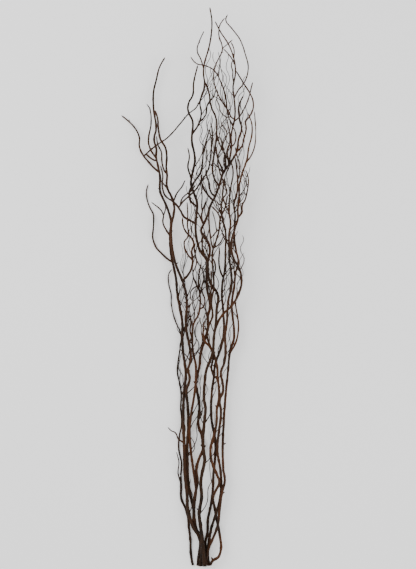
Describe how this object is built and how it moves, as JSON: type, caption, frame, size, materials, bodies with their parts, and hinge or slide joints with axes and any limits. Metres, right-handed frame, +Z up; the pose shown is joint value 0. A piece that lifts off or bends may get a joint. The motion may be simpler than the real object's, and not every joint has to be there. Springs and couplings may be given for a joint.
{
  "type": "curly willow stem bunch",
  "caption": "Loose bunch of leafless curly willow stems with forks and fine side twigs, cut square at the foot and lying flat.",
  "frame": {"origin": "centre of the bunch's outline seen from above, on the table that it lies on", "axes": "+Y from the cut ends to the tips, +X to the right seen from above, +Z up from the table"},
  "size_m": [0.3371, 1.3955, 0.1398],
  "materials": {
    "bark": "satin"
  },
  "bodies": {
    "root": {"stem_slim_left": "bark", "stem_left_inner": "bark", "stem_middle_fork": "bark", "stem_front": "bark", "stem_left_outer": "bark", "stem_middle_thick": "bark", "stem_right_inner": "bark", "stem_right_outer": "bark", "stem_bowed": "bark"}
  },
  "joints": []
}
